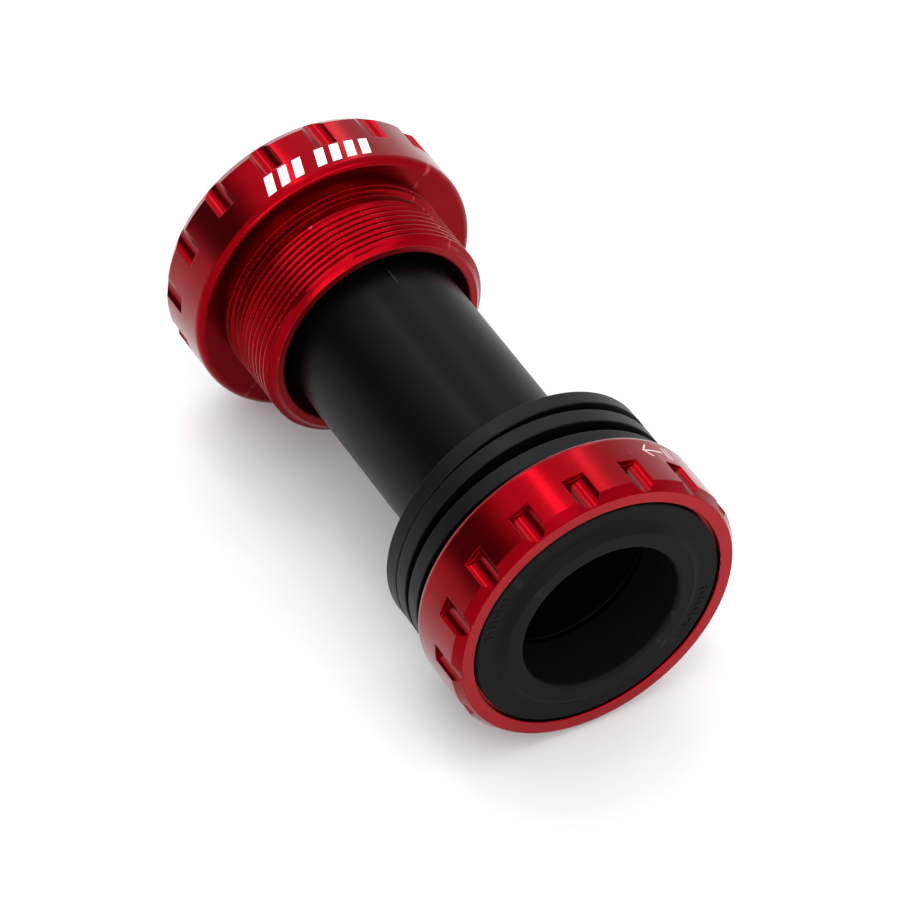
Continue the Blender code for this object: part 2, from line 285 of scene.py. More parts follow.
def boolean(piece, tool, operation):
    """Applies a Boolean at once and removes the tool."""
    modifier = piece.modifiers.new("boolean", "BOOLEAN")
    modifier.operation = operation
    modifier.solver = "EXACT"
    modifier.object = tool
    evaluated = piece.evaluated_get(bpy.context.evaluated_depsgraph_get())
    mesh = bpy.data.meshes.new_from_object(evaluated)
    piece.modifiers.clear()
    piece.data = mesh
    bpy.data.objects.remove(tool, do_unlink=True)
    return piece


# ---------------------------------------------------------------- cups

def notch_section():
    """Half of one notch's cross-section, as (angle, radius) from its middle outwards."""
    cutter, centre = NOTCH_CUTTER_RADIUS, NOTCH_CUTTER_CENTRE
    edge = NOTCH_EDGE_ROUND
    inner = FLANGE_RADIUS - edge
    turn = acos((inner ** 2 + centre ** 2 - (cutter + edge) ** 2) / (2 * inner * centre))
    spoke = Vector((inner * cos(turn), inner * sin(turn)))
    to_edge = spoke - Vector((centre, 0))
    wall = atan2(to_edge.y, to_edge.x)
    floor_steps, edge_steps, land_steps = 9, 4, 7
    points = []
    for step in range(floor_steps + 1):
        angle = pi + (wall - pi) * step / floor_steps
        points.append(Vector((centre + cutter * cos(angle), cutter * sin(angle))))
    for step in range(1, edge_steps + 1):
        angle = wall - pi + (turn - wall + pi) * step / edge_steps
        points.append(spoke + edge * Vector((cos(angle), sin(angle))))
    section = [(atan2(p.y, p.x), p.length) for p in points]
    for step in range(1, land_steps + 1):
        section.append((turn + (NOTCH_PITCH / 2 - turn) * step / land_steps, FLANGE_RADIUS))
    return section


def flange_columns(side):
    """The angle and flange radius of each column of the cup, right round."""
    half = notch_section()
    pitch = [(-angle, radius) for angle, radius in reversed(half)] + half[1:]
    first = local_angle(side, NOTCH_PHASE[side])
    columns = []
    for notch in range(NOTCH_COUNT):
        middle = first + notch * NOTCH_PITCH
        columns.extend((middle + angle, radius) for angle, radius in pitch[:-1])
    columns.append((columns[0][0] + 2 * pi, columns[0][1]))
    return columns


ZONE_BAND, ZONE_FACE, ZONE_THREAD = 0, 1, 2

# One turn of the thread, as shares of the pitch and of the depth below the crest.
THREAD_TURN = ((0.0, 0.06), (0.05, 0.0), (0.17, 0.0), (0.22, 0.06), (0.52, 1.0), (0.70, 1.0))
THREAD_TURNS_LAID = range(-2, 11)
LEAD_SLOPE = 1.6
TAIL_SLOPE = 3.2


def thread_rows(side, share):
    """Points (radius, depth, zone) of the helical thread where the helix has turned share."""
    start = CUP_LENGTH[side] - NOSE_LENGTH + THREAD_START - RELIEF_RAMP
    tip_radius = NOSE_FACE_RADIUS + NOSE_TIP_CHAMFER
    end = CUP_LENGTH[side] - NOSE_TIP_CHAMFER
    rows = []
    for turn in THREAD_TURNS_LAID:
        for step, drop in THREAD_TURN:
            z = start + THREAD_PITCH * (turn + step + THREAD_HAND[side] * share)
            z = min(max(z, start), end)
            r = THREAD_RADIUS - THREAD_DEPTH * drop
            r = min(r, RELIEF_RADIUS + LEAD_SLOPE * (z - start))
            r = min(r, tip_radius + TAIL_SLOPE * (end - z))
            rows.append((r, z, ZONE_THREAD))
    return rows


def cup_outline(side, radius, share):
    """The cup's outline in a column where the flange's front part has this radius."""
    shoulder = CUP_LENGTH[side] - NOSE_LENGTH
    end = CUP_LENGTH[side]
    chamfer_share = (radius - FACE_RADIUS) / (FLANGE_RADIUS - FACE_RADIUS)
    chamfer_end = FACE_CHAMFER_DEPTH * chamfer_share
    front = rounded([
        (SEAT_RADIUS, SEAT_DEPTH, 0, ZONE_BAND),
        (SEAT_RADIUS, RECESS_DEPTH, 0.05, ZONE_BAND),
        (RECESS_RADIUS, RECESS_DEPTH, 0.05, ZONE_BAND),
        (RECESS_RADIUS, RECESS_MOUTH_CHAMFER, 0.1, ZONE_BAND),
        (RECESS_RADIUS + RECESS_MOUTH_CHAMFER, 0.0, 0.08, ZONE_FACE),
        (FACE_RADIUS, 0.0, EDGE_ROUND, ZONE_BAND),
        (radius, chamfer_end, EDGE_ROUND, ZONE_BAND),
        (radius, NOTCH_DEPTH, 0.1, ZONE_BAND),
        (FLANGE_RADIUS, NOTCH_DEPTH, EDGE_ROUND, ZONE_BAND),
        (FLANGE_RADIUS, shoulder, SHOULDER_ROUND, ZONE_BAND),
        (THREAD_RADIUS, shoulder, 0.12, ZONE_BAND),
        (THREAD_RADIUS, shoulder + COLLAR_LENGTH, EDGE_ROUND, ZONE_BAND),
        (RELIEF_RADIUS, shoulder + COLLAR_LENGTH + RELIEF_RAMP, 0.1, ZONE_BAND),
        (RELIEF_RADIUS, shoulder + THREAD_START - RELIEF_RAMP, 0, ZONE_THREAD),
        (NOSE_BORE, end - 0.01, 0, ZONE_FACE),
    ])
    back = rounded([
        (NOSE_FACE_RADIUS + NOSE_TIP_CHAMFER, end - NOSE_TIP_CHAMFER, 0, ZONE_BAND),
        (NOSE_FACE_RADIUS, end, EDGE_ROUND, ZONE_FACE),
        (NOSE_BORE, end, 0.3, ZONE_FACE),
        (NOSE_BORE, LEDGE_DEPTH, 0.1, ZONE_FACE),
        (LEDGE_RADIUS, LEDGE_DEPTH, 0, ZONE_FACE),
        (LEDGE_RADIUS, SEAT_DEPTH, 0, ZONE_FACE),
        (SEAT_RADIUS, SEAT_DEPTH, 0, ZONE_BAND),
    ])
    return front[:-1] + thread_rows(side, share) + back[:-1][1:]


def make_cup(side, materials):
    columns = flange_columns(side)
    first = columns[0][0]
    outlines = []
    for angle, radius in columns:
        share = (angle - first) / (2 * pi)
        outlines.append((angle, cup_outline(side, radius, share)))
    cup = swept(side + "_cup_turned", outlines, depth_frame(side), materials)
    finish_mesh(cup)
    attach(cup, side + "_cup_assembly")
    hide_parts(side + "_cup")
    return cup


# ---------------------------------------------------------------- bearings

def groove(land, outward):
    """The raceway across a land, front to back, as a true arc."""
    lift = (land - PITCH_RADIUS) / GROOVE_RADIUS
    reach = degrees(acos(abs(lift)))
    points = arc((PITCH_RADIUS, BEARING_MIDDLE), GROOVE_RADIUS, -reach, reach, 10)
    if not outward:
        points = [(2 * PITCH_RADIUS - r, z) for r, z in points]
    return [(r, z, 0, 0) for r, z in points]


def ride_as(piece, side, group, node):
    """The piece rides with its side's body and stands for the CAD node, which it hides."""
    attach(piece, f"{side}_{group}")
    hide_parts(node)
    return piece


def make_outer_ring(side, steel):
    front_recess = BEARING_FRONT + SEAL_RECESS_DEPTH
    back_recess = BEARING_BACK - SEAL_RECESS_DEPTH
    outline = [
        (OUTER_RING_RADIUS, BEARING_FRONT, 3 * RING_EDGE, 0),
        (SEAL_RECESS_RADIUS, BEARING_FRONT, RING_EDGE, 0),
        (SEAL_RECESS_RADIUS, front_recess, 0, 0),
        (OUTER_LAND, front_recess, RING_EDGE, 0),
        *groove(OUTER_LAND, True),
        (OUTER_LAND, back_recess, RING_EDGE, 0),
        (SEAL_RECESS_RADIUS, back_recess, 0, 0),
        (SEAL_RECESS_RADIUS, BEARING_BACK, RING_EDGE, 0),
        (OUTER_RING_RADIUS, BEARING_BACK, 3 * RING_EDGE, 0),
    ]
    node = side + "_bearing_outer_ring"
    ring = turned(node + "_ground", outline, depth_frame(side), [steel], INNER_SEGMENTS)
    return ride_as(ring, side, "cup_assembly", node)


def make_inner_ring(side, steel):
    outline = [
        (INNER_RING_BORE, BEARING_FRONT, 2 * RING_EDGE, 0),
        (INNER_LAND, BEARING_FRONT, RING_EDGE, 0),
        *groove(INNER_LAND, False),
        (INNER_LAND, BEARING_BACK, RING_EDGE, 0),
        (INNER_RING_BORE, BEARING_BACK, 2 * RING_EDGE, 0),
    ]
    node = side + "_bearing_inner_ring"
    ring = turned(node + "_ground", outline, depth_frame(side), [steel], INNER_SEGMENTS)
    return ride_as(ring, side, "rotor", node)


def make_balls(side, steel):
    """Fifteen balls, each a cube divided and swelled to a sphere."""
    for index in range(BALL_COUNT):
        angle = 2 * pi * index / BALL_COUNT
        place = Vector((PITCH_RADIUS * cos(angle), PITCH_RADIUS * sin(angle), BEARING_MIDDLE))
        solid = bmesh.new()
        bmesh.ops.create_cube(solid, size=2)
        bmesh.ops.subdivide_edges(solid, edges=solid.edges, cuts=7, use_grid_fill=True)
        for vert in solid.verts:
            vert.co = place + BALL_RADIUS * vert.co.normalized()
        solid.transform(depth_frame(side))
        node = f"{side}_ball_{index + 1:02d}"
        mesh = bpy.data.meshes.new(node + "_lapped")
        solid.to_mesh(mesh)
        solid.free()
        mesh.shade_smooth()
        ball = new_piece(node + "_lapped", mesh, [steel])
        ride_as(ball, side, "ball_train", node)


def pocket_tool(side):
    """Round pockets along the balls' own radii, as one closed tool."""
    tools = bmesh.new()
    for index in range(BALL_COUNT):
        angle = 2 * pi * index / BALL_COUNT
        place = (Matrix.Rotation(angle, 4, "Z")
                 @ Matrix.Translation((PITCH_RADIUS, 0, BEARING_MIDDLE))
                 @ Matrix.Rotation(pi / 2, 4, "Y"))
        bmesh.ops.create_cone(
            tools, cap_ends=True, segments=28, radius1=POCKET_RADIUS, radius2=POCKET_RADIUS,
            depth=3 * CAGE_THICKNESS, matrix=place)
    tools.transform(depth_frame(side))
    mesh = bpy.data.meshes.new("pockets")
    tools.to_mesh(mesh)
    tools.free()
    return new_piece("pockets", mesh, [])


def make_cage(side, nylon):
    """The crown cage: a back rim with horns that stand between the balls."""
    inside = PITCH_RADIUS - CAGE_THICKNESS / 2
    outside = PITCH_RADIUS + CAGE_THICKNESS / 2
    outline = [
        (inside, CAGE_FRONT, RING_EDGE, 0), (outside, CAGE_FRONT, RING_EDGE, 0),
        (outside, CAGE_BACK, RING_EDGE, 0), (inside, CAGE_BACK, RING_EDGE, 0),
    ]
    node = side + "_bearing_cage"
    points = rounded(outline)
    steps = 8 * BALL_COUNT
    columns = [(2 * pi * i / steps, points) for i in range(steps + 1)]
    cage = swept(node + "_moulded", columns, depth_frame(side), [nylon])
    boolean(cage, pocket_tool(side), "DIFFERENCE")
    finish_mesh(cage)
    return ride_as(cage, side, "ball_train", node)


def make_seals(side, rubber):
    """Rubber washers in the outer ring's recesses, with a thin lip on the inner land."""
    inside = INNER_LAND + SEAL_GAP
    outside = SEAL_RECESS_RADIUS - 2 * SEAL_GAP
    fronts = {
        "outboard": BEARING_FRONT + SEAL_GAP,
        "inboard": BEARING_BACK - SEAL_GAP - SEAL_THICKNESS,
    }
    for place, front in fronts.items():
        back = front + SEAL_THICKNESS
        dip_in, dip_out = inside + SEAL_RIM, outside - SEAL_RIM
        outline = [
            (inside, front, SEAL_ROUND, 0),
            (dip_in, front, SEAL_ROUND, 0),
            (dip_in + SEAL_WAIST, front + SEAL_WAIST, SEAL_ROUND, 0),
            (dip_out - SEAL_WAIST, front + SEAL_WAIST, SEAL_ROUND, 0),
            (dip_out, front, SEAL_ROUND, 0),
            (outside, front, 0.08, 0),
            (outside, back, 0.08, 0),
            (inside, back, SEAL_ROUND, 0),
        ]
        node = f"{side}_{place}_seal"
        seal = turned(node + "_moulded", outline, depth_frame(side), [rubber], INNER_SEGMENTS)
        ride_as(seal, side, "cup_assembly", node)


# ---------------------------------------------------------------- caps

# Raised marks on the cap's annulus: where the two rows start and end, in degrees round
# from +Z towards +X on the drive side, and how far out they stand.
CAP_MARK_ROWS = ((-77.0, -55.0), (103.0, 125.0))
CAP_MARKS = ("bar", "dot", "bar", "bar", "dot", "bar", "dot", "bar")
CAP_MARK_RADIUS = 17.4
CAP_MARK_LENGTH = 1.25
CAP_MARK_WIDTH = 0.42
CAP_MARK_HEIGHT = 0.09
CAP_MARK_SUNK = 0.15
CAP_MARK_ROUND = 0.12
CAP_DOT_RADIUS = 0.36
CAP_DOT_TAPER = 0.05


def cap_mark(tools, kind, angle):
    """One raised mark: a radial bar or a round dot, sunk a little into the cap."""
    middle = CAP_FRONT - (CAP_MARK_HEIGHT - CAP_MARK_SUNK) / 2
    place = Matrix.Rotation(angle, 4, "Z") @ Matrix.Translation((CAP_MARK_RADIUS, 0, middle))
    height = CAP_MARK_HEIGHT + CAP_MARK_SUNK
    if kind == "dot":
        bmesh.ops.create_cone(
            tools, cap_ends=True, segments=20, radius1=CAP_DOT_RADIUS - CAP_DOT_TAPER,
            radius2=CAP_DOT_RADIUS, depth=height, matrix=place)
        return
    size = Matrix.Diagonal((CAP_MARK_LENGTH, CAP_MARK_WIDTH, height, 1))
    made = bmesh.ops.create_cube(tools, size=1, matrix=place @ size)
    upright = [e for e in {e for v in made["verts"] for e in v.link_edges}
               if abs((e.verts[0].co - e.verts[1].co).z) > height / 2]
    bmesh.ops.bevel(tools, geom=upright, offset=CAP_MARK_ROUND, segments=3, affect="EDGES")


def cap_marks(side):
    tools = bmesh.new()
    for start, end in CAP_MARK_ROWS:
        for index, kind in enumerate(CAP_MARKS):
            share = index / (len(CAP_MARKS) - 1)
            cap_mark(tools, kind, local_angle(side, start + (end - start) * share))
    tools.transform(depth_frame(side))
    mesh = bpy.data.meshes.new("marks")
    tools.to_mesh(mesh)
    tools.free()
    return new_piece("marks", mesh, [])


def make_cap(side, plastic):
    """The dust cap: flat annulus, soft ramp, proud collar and the hub inside the bearing."""
    outline = [
        (SPINDLE_BORE, HUB_END, 0.1, 0),
        (SPINDLE_BORE, COLLAR_FRONT, 0.6, 0),
        (COLLAR_RADIUS, COLLAR_FRONT, 0.35, 0),
        (COLLAR_FOOT_RADIUS, CAP_FRONT, 0.5, 0),
        (CAP_RADIUS, CAP_FRONT, 0.22, 0),
        (CAP_RADIUS, CAP_BACK, 0.1, 0),
        (CAP_BOSS_RADIUS, CAP_BACK, 0, 0),
        (CAP_BOSS_RADIUS, CAP_BOSS_BACK, 0, 0),
        (HUB_RADIUS, CAP_BOSS_BACK, 0, 0),
        (HUB_RADIUS, HUB_END, 0.1, 0),
    ]
    node = side + "_bearing_cap"
    points = rounded(outline, 5)
    columns = [(2 * pi * i / ROUND_SEGMENTS, points) for i in range(ROUND_SEGMENTS + 1)]
    cap = swept(node + "_moulded", columns, depth_frame(side), [plastic])
    boolean(cap, cap_marks(side), "UNION")
    finish_mesh(cap, 50)
    return ride_as(cap, side, "rotor", node)


# ---------------------------------------------------------------- sleeve and spacers

def o_ring_groove(centre):
    half = O_RING_GROOVE_WIDTH / 2
    return [
        (SLEEVE_COLLAR_RADIUS, centre - half, 0.1, 0),
        (O_RING_GROOVE_RADIUS, centre - half, 0.1, 0),
        (O_RING_GROOVE_RADIUS, centre + half, 0.1, 0),
        (SLEEVE_COLLAR_RADIUS, centre + half, 0.1, 0),
    ]


def make_sleeve(plastic):
    """The tube that joins the cups: a long collar at the drive end, a bead at the other."""
    outline = [
        (SLEEVE_BORE, SLEEVE_START, 0.15, 0),
        (SLEEVE_COLLAR_RADIUS, SLEEVE_START, 0.3, 0),
        *o_ring_groove(O_RING_DEPTHS["drive"]),
        (SLEEVE_COLLAR_RADIUS, SLEEVE_COLLAR_END, 0.3, 0),
        (SLEEVE_RADIUS, SLEEVE_COLLAR_END, 0.15, 0),
        (SLEEVE_RADIUS, SLEEVE_BEAD_START, 0.2, 0),
        (SLEEVE_COLLAR_RADIUS, SLEEVE_BEAD_START + 0.3, 0.1, 0),
        *o_ring_groove(O_RING_DEPTHS["non_drive"]),
        (SLEEVE_COLLAR_RADIUS, SLEEVE_END, 0.3, 0),
        (SLEEVE_BORE, SLEEVE_END, 0.15, 0),
    ]
    sleeve = turned("sleeve_moulded", outline, depth_frame("drive"), [plastic])
    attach(sleeve, "sleeve_assembly")
    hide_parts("sleeve")
    return sleeve


def make_o_rings(rubber):
    for side, depth in O_RING_DEPTHS.items():
        circle = arc((O_RING_RADIUS, depth), O_RING_SECTION, 0, 360, 20)[:-1]
        outline = [(r, z, 0, 0) for r, z in circle]
        node = side + "_sleeve_o_ring"
        ring = turned(node + "_moulded", outline, depth_frame("drive"), [rubber], INNER_SEGMENTS)
        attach(ring, "sleeve_assembly")
        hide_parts(node)


def disc_frame(node):
    """Where a CAD washer is: its middle and its axis, measured from its vertices."""
    points = np.array([v.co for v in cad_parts[node].data.vertices])
    middle = points.mean(axis=0)
    axis = Vector(np.linalg.svd(points - middle, full_matrices=False)[2][2])
    if axis.y < 0:
        axis.negate()
    turn = axis.to_track_quat("Z", "X").to_matrix().to_4x4()
    return Matrix.Translation(middle) @ turn @ Matrix.Scale(MM, 4)


def make_spacers(rubber):
    half = SPACER_WIDTH / 2
    outline = [
        (SPACER_BORE, -half, 0.12, 0),
        (SPACER_RADIUS, -half, SPACER_EDGE, 0),
        (SPACER_RADIUS, half, SPACER_EDGE, 0),
        (SPACER_BORE, half, 0.12, 0),
    ]
    for place in ("inner", "middle", "outer"):
        node = "spacer_" + place
        spacer = turned(node + "_moulded", outline, disc_frame(node), [rubber])
        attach(spacer, place + "_spacer")
        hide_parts(node)


# ---------------------------------------------------------------- printed and etched marks

FILM = 0.02
FILM_STEP = 1.2

# The white print on the non-drive flange, as two groups of slanted stripes, each (start,
# end, number) in degrees round from +Z towards +X, and the depths between which it lies.
PRINT_DEPTHS = (6.05, 9.35)
PRINT_GROUPS = ((-25.2, -7.0, 3), (-3.9, 21.1, 4))
PRINT_GAP = 2.4
PRINT_SLANT = 2.6

# The etched mark on the drive flange: an arrow for the way the cup unscrews.
ETCH_START = 30.0
ETCH_END = 40.0
ETCH_DEPTHS = (6.65, 9.05)
ETCH_STROKE = 0.26
ETCH_HEAD = 1.1


def film_patch(solid, side, corners):
    """A thin raised film on the flange over a polygon of (angle in degrees, depth)."""
    low, high = [], []
    for angle, depth in corners:
        turn = local_angle(side, angle)
        for radius, ring in ((FLANGE_RADIUS - FILM, low), (FLANGE_RADIUS + FILM, high)):
            ring.append(solid.verts.new((radius * cos(turn), radius * sin(turn), depth)))
    count = len(corners)
    solid.faces.new(high)
    solid.faces.new(low[::-1])
    for i in range(count):
        j = (i + 1) % count
        solid.faces.new((low[i], low[j], high[j], high[i]))


def film_strip(solid, side, start, end, front, back, slant=0.0):
    """A slanted bar of film, in short pieces so that it follows the round flange."""
    pieces = max(2, round((end - start) / FILM_STEP))
    for column in range(pieces):
        a0 = start + (end - start) * column / pieces
        a1 = start + (end - start) * (column + 1) / pieces
        film_patch(solid, side, [(a0 + slant, front), (a1 + slant, front), (a1, back), (a0, back)])


def film_piece(name, solid, side, material):
    bmesh.ops.remove_doubles(solid, verts=solid.verts, dist=0.001)
    drop_inner_walls(solid)
    bmesh.ops.recalc_face_normals(solid, faces=solid.faces)
    solid.transform(depth_frame(side))
    mesh = bpy.data.meshes.new(name)
    solid.to_mesh(mesh)
    solid.free()
    piece = new_piece(name, mesh, [material])
    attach(piece, side + "_cup_assembly")
    return piece


def drop_inner_walls(solid):
    """Removes the walls that two pieces of one strip share."""
    seen = {}
    for face in solid.faces:
        seen.setdefault(frozenset(face.verts), []).append(face)
    shared = [face for faces in seen.values() if len(faces) > 1 for face in faces]
    bmesh.ops.delete(solid, geom=shared, context="FACES_ONLY")


def make_print(material):
    """Two groups of slanted stripes in white ink."""
    solid = bmesh.new()
    for start, end, count in PRINT_GROUPS:
        pitch = (end - start - PRINT_SLANT + PRINT_GAP) / count
        for index in range(count):
            first = start + index * pitch
            last = first + pitch - PRINT_GAP
            film_strip(solid, "non_drive", first, last, *PRINT_DEPTHS, PRINT_SLANT)
    return film_piece("non_drive_cup_print", solid, "non_drive", material)


def make_etching(material):
    """A thin arrow and two ticks, cut through the red to the bare metal."""
    solid = bmesh.new()
    front, back = ETCH_DEPTHS
    middle = (front + back) / 2
    half = ETCH_STROKE / 2
    width = degrees(ETCH_STROKE / FLANGE_RADIUS)
    head = degrees(ETCH_HEAD / FLANGE_RADIUS)
    film_strip(solid, "drive", ETCH_START + 2 * width, ETCH_END, middle - half, middle + half)
    for reach in (front, back):
        lean = head if reach == front else -head
        low, high = sorted((middle, reach))
        start = ETCH_START if reach == front else ETCH_START + head
        film_strip(solid, "drive", start, start + 1.4 * width, low, high, lean)
    for tick in (ETCH_END + 2.2 * width, ETCH_END + 5 * width):
        film_strip(solid, "drive", tick, tick + width, front, back)
    return film_piece("drive_cup_etching", solid, "drive", material)


# ---------------------------------------------------------------- materials

class Graph:
    """Short calls for building a material's nodes."""

    def __init__(self, name):
        self.material = bpy.data.materials.new(name)
        self.material.use_nodes = True
        self.tree = self.material.node_tree
        self.shader = self.tree.nodes["Principled BSDF"]
        self.object = self.node("ShaderNodeTexCoord").outputs["Object"]

    def node(self, kind, **settings):
        made = self.tree.nodes.new(kind)
        for key, value in settings.items():
            setattr(made, key, value)
        return made

    def join(self, value, socket):
        if isinstance(value, bpy.types.NodeSocket):
            self.tree.links.new(value, socket)
        else:
            socket.default_value = value

    def math(self, operation, *values):
        made = self.node("ShaderNodeMath", operation=operation)
        for value, socket in zip(values, made.inputs):
            self.join(value, socket)
        return made.outputs[0]

    def vector(self, x, y, z):
        made = self.node("ShaderNodeCombineXYZ")
        for value, socket in zip((x, y, z), made.inputs):
            self.join(value, socket)
        return made.outputs[0]

    def noise(self, vector, scale, detail=3.0, roughness=0.55):
        made = self.node("ShaderNodeTexNoise")
        self.join(vector, made.inputs["Vector"])
        made.inputs["Scale"].default_value = scale
        made.inputs["Detail"].default_value = detail
        made.inputs["Roughness"].default_value = roughness
        return made.outputs["Fac"]

    def speckle(self, scale, size):
        """Small round specks, 1 inside one and 0 outside, in about a fifth of the cells."""
        cells = self.node("ShaderNodeTexVoronoi")
        self.join(self.object, cells.inputs["Vector"])
        cells.inputs["Scale"].default_value = scale
        chosen = self.math("GREATER_THAN", self.channel(cells.outputs["Color"], 0), 0.8)
        near = self.spread(cells.outputs["Distance"], size, size * 0.4)
        return self.math("MULTIPLY", chosen, near)

    def channel(self, colour, index):
        made = self.node("ShaderNodeSeparateColor")
        self.join(colour, made.inputs[0])
        return made.outputs[index]

    def spread(self, value, start, end, low=0.0, high=1.0):
        """Carries value from start..end to low..high, held at the ends."""
        made = self.node("ShaderNodeMapRange")
        self.join(value, made.inputs["Value"])
        made.inputs["From Min"].default_value = start
        made.inputs["From Max"].default_value = end
        made.inputs["To Min"].default_value = low
        made.inputs["To Max"].default_value = high
        return made.outputs["Result"]

    def mix(self, share, first, second):
        made = self.node("ShaderNodeMix", data_type="RGBA")
        self.join(share, made.inputs["Factor"])
        for value, socket in ((first, made.inputs["A"]), (second, made.inputs["B"])):
            self.join((*value, 1.0) if isinstance(value, tuple) else value, socket)
        return made.outputs["Result"]

    def bump(self, height, distance, normal=None):
        made = self.node("ShaderNodeBump")
        made.inputs["Strength"].default_value = 1.0
        made.inputs["Distance"].default_value = distance
        self.join(height, made.inputs["Height"])
        if normal is not None:
            self.join(normal, made.inputs["Normal"])
        return made.outputs["Normal"]

    def turning(self, lines, wander=0.6):
        """Noise in rings about the spindle axis, with so many lines to the mm."""
        axes = self.node("ShaderNodeSeparateXYZ")
        self.join(self.object, axes.inputs[0])
        x, y, z = axes.outputs
        squares = self.math("ADD", self.math("MULTIPLY", x, x), self.math("MULTIPLY", z, z))
        radius = self.math("SQRT", squares)
        run = self.math("MULTIPLY", self.math("MULTIPLY_ADD", y, 1.7, radius), lines / MM)
        across = self.math("MULTIPLY", self.math("DIVIDE", x, radius), wander)
        along = self.math("MULTIPLY", self.math("DIVIDE", z, radius), wander)
        return self.noise(self.vector(across, run, along), 1.0, 2.0)

    def set(self, **values):
        for key, value in values.items():
            self.join(value, self.shader.inputs[key.replace("_", " ")])
        return self.material


def edge_wear_and_glint(graph, threshold=0.56, width=0.06):
    """1 on sharp outward edges, broken up by noise, and 0 elsewhere: a mask for edges that are paler
    from wear and carry a painted highlight.
    """
    pointiness = graph.node("ShaderNodeNewGeometry").outputs["Pointiness"]
    edges = graph.spread(pointiness, threshold, threshold + width)
    patches = graph.spread(graph.noise(graph.object, 900.0), 0.42, 0.62)
    return graph.math("MULTIPLY", edges, patches)


RED = (0.235, 0.0012, 0.0050)
RED_DEEP = (0.20, 0.0008, 0.0038)
# Paler red for worn edges, which also serves as a painted highlight along the edges.
RED_WORN_GLINT = (0.50, 0.08, 0.10)
RED_SOFT = (0.29, 0.0065, 0.0115)
RED_SOFT_PALE = (0.33, 0.0085, 0.0135)
DUST = (0.45, 0.45, 0.44)
DUST_SHARE = 0.25
SLEEVE_BLACK = (0.0010, 0.0010, 0.0011)
SLEEVE_SCRATCH = (0.06, 0.06, 0.06)
SLEEVE_SPECK = (0.30, 0.30, 0.29)


def red_turned(name, roughness, marks, mark_depth):
    """Anodised aluminium with rings left by the lathe tool."""
    graph = Graph(name)
    rings = graph.turning(marks)
    cloud = graph.noise(graph.object, 160.0, 4.0)
    grain = graph.noise(graph.object, 6000.0, 2.0)
    tint = graph.mix(graph.spread(cloud, 0.35, 0.65), RED_DEEP, RED)
    # Sharp edges turn paler red: partly worn anodising, partly a painted edge highlight.
    worn_and_glint = graph.mix(graph.math("MULTIPLY", edge_wear_and_glint(graph), 0.5), tint, RED_WORN_GLINT)
    rough = graph.spread(rings, 0.3, 0.7, roughness - 0.04, roughness + 0.05)
    rough = graph.math("MULTIPLY_ADD", graph.math("SUBTRACT", grain, 0.5), 0.08, rough)
    normal = graph.bump(rings, mark_depth * MM)
    normal = graph.bump(grain, 0.0008 * MM, normal)
    return graph.set(Base_Color=worn_and_glint, Metallic=1.0, Roughness=rough, Normal=normal)


def red_blasted(name):
    """Anodised aluminium with the soft, even finish of the cup's flat faces."""
    graph = Graph(name)
    grain = graph.noise(graph.object, 5200.0, 3.0)
    rings = graph.turning(5.0)
    cloud = graph.noise(graph.object, 220.0, 3.0)
    tint = graph.mix(graph.spread(cloud, 0.35, 0.65), RED_SOFT, RED_SOFT_PALE)
    # Sharp edges turn paler red: partly worn anodising, partly a painted edge highlight.
    worn_and_glint = graph.mix(graph.math("MULTIPLY", edge_wear_and_glint(graph), 0.35), tint, RED_WORN_GLINT)
    rough = graph.spread(grain, 0.3, 0.7, 0.38, 0.5)
    normal = graph.bump(grain, 0.004 * MM)
    normal = graph.bump(rings, 0.0015 * MM, normal)
    return graph.set(Base_Color=worn_and_glint, Metallic=0.9, Roughness=rough, Normal=normal)


def times(factor, colour):
    return tuple(factor * channel for channel in colour)


def black_plastic(name, colour, roughness, grain_scale, grain_depth, specular):
    """Moulded black plastic or rubber: fine grain, paler edges that are partly wear and partly a
    painted highlight, a little dust.
    """
    graph = Graph(name)
    grain = graph.noise(graph.object, grain_scale, 4.0, 0.65)
    cloud = graph.noise(graph.object, 130.0, 4.0)
    tint = graph.mix(graph.spread(cloud, 0.35, 0.7), colour, times(1.25, colour))
    # Sharp edges five times paler: partly wear, partly a painted edge highlight.
    tint = graph.mix(graph.math("MULTIPLY", edge_wear_and_glint(graph), 0.7), tint, times(5.1, colour))
    specks = graph.math("MULTIPLY", graph.speckle(420.0, 0.055), DUST_SHARE)
    tint = graph.mix(specks, tint, DUST)
    rough = graph.spread(graph.math("ADD", grain, graph.math("MULTIPLY", cloud, 0.5)),
                         0.5, 1.0, roughness - 0.05, roughness + 0.07)
    normal = graph.bump(grain, grain_depth * MM)
    graph.shader.inputs["Specular IOR Level"].default_value = specular
    return graph.set(Base_Color=tint, Roughness=rough, Normal=normal)


def sleeve_plastic():
    """Satin black with faint scratches along and across the tube."""
    graph = Graph("sleeve_satin")
    grain = graph.noise(graph.object, 4200.0, 3.0)
    cloud = graph.noise(graph.object, 90.0, 4.0)
    stretch = graph.node("ShaderNodeMapping")
    graph.join(graph.object, stretch.inputs["Vector"])
    stretch.inputs["Rotation"].default_value = (0.5, 0.2, 0.7)
    stretch.inputs["Scale"].default_value = (1.0, 0.07, 1.0)
    scratch_noise = graph.noise(stretch.outputs["Vector"], 1400.0, 1.0)
    scratches = graph.math("MULTIPLY", graph.spread(scratch_noise, 0.735, 0.76),
                           graph.spread(graph.noise(graph.object, 75.0), 0.5, 0.62))
    specks = graph.math("MULTIPLY", graph.speckle(300.0, 0.05), 0.35)
    tint = graph.mix(graph.math("MULTIPLY", scratches, 0.5), SLEEVE_BLACK, SLEEVE_SCRATCH)
    tint = graph.mix(specks, tint, SLEEVE_SPECK)
    rough = graph.spread(cloud, 0.3, 0.7, 0.31, 0.37)
    rough = graph.math("MULTIPLY_ADD", scratches, -0.12, rough)
    normal = graph.bump(grain, 0.0012 * MM)
    graph.shader.inputs["Specular IOR Level"].default_value = 0.06
    return graph.set(Base_Color=tint, Roughness=rough, Normal=normal)


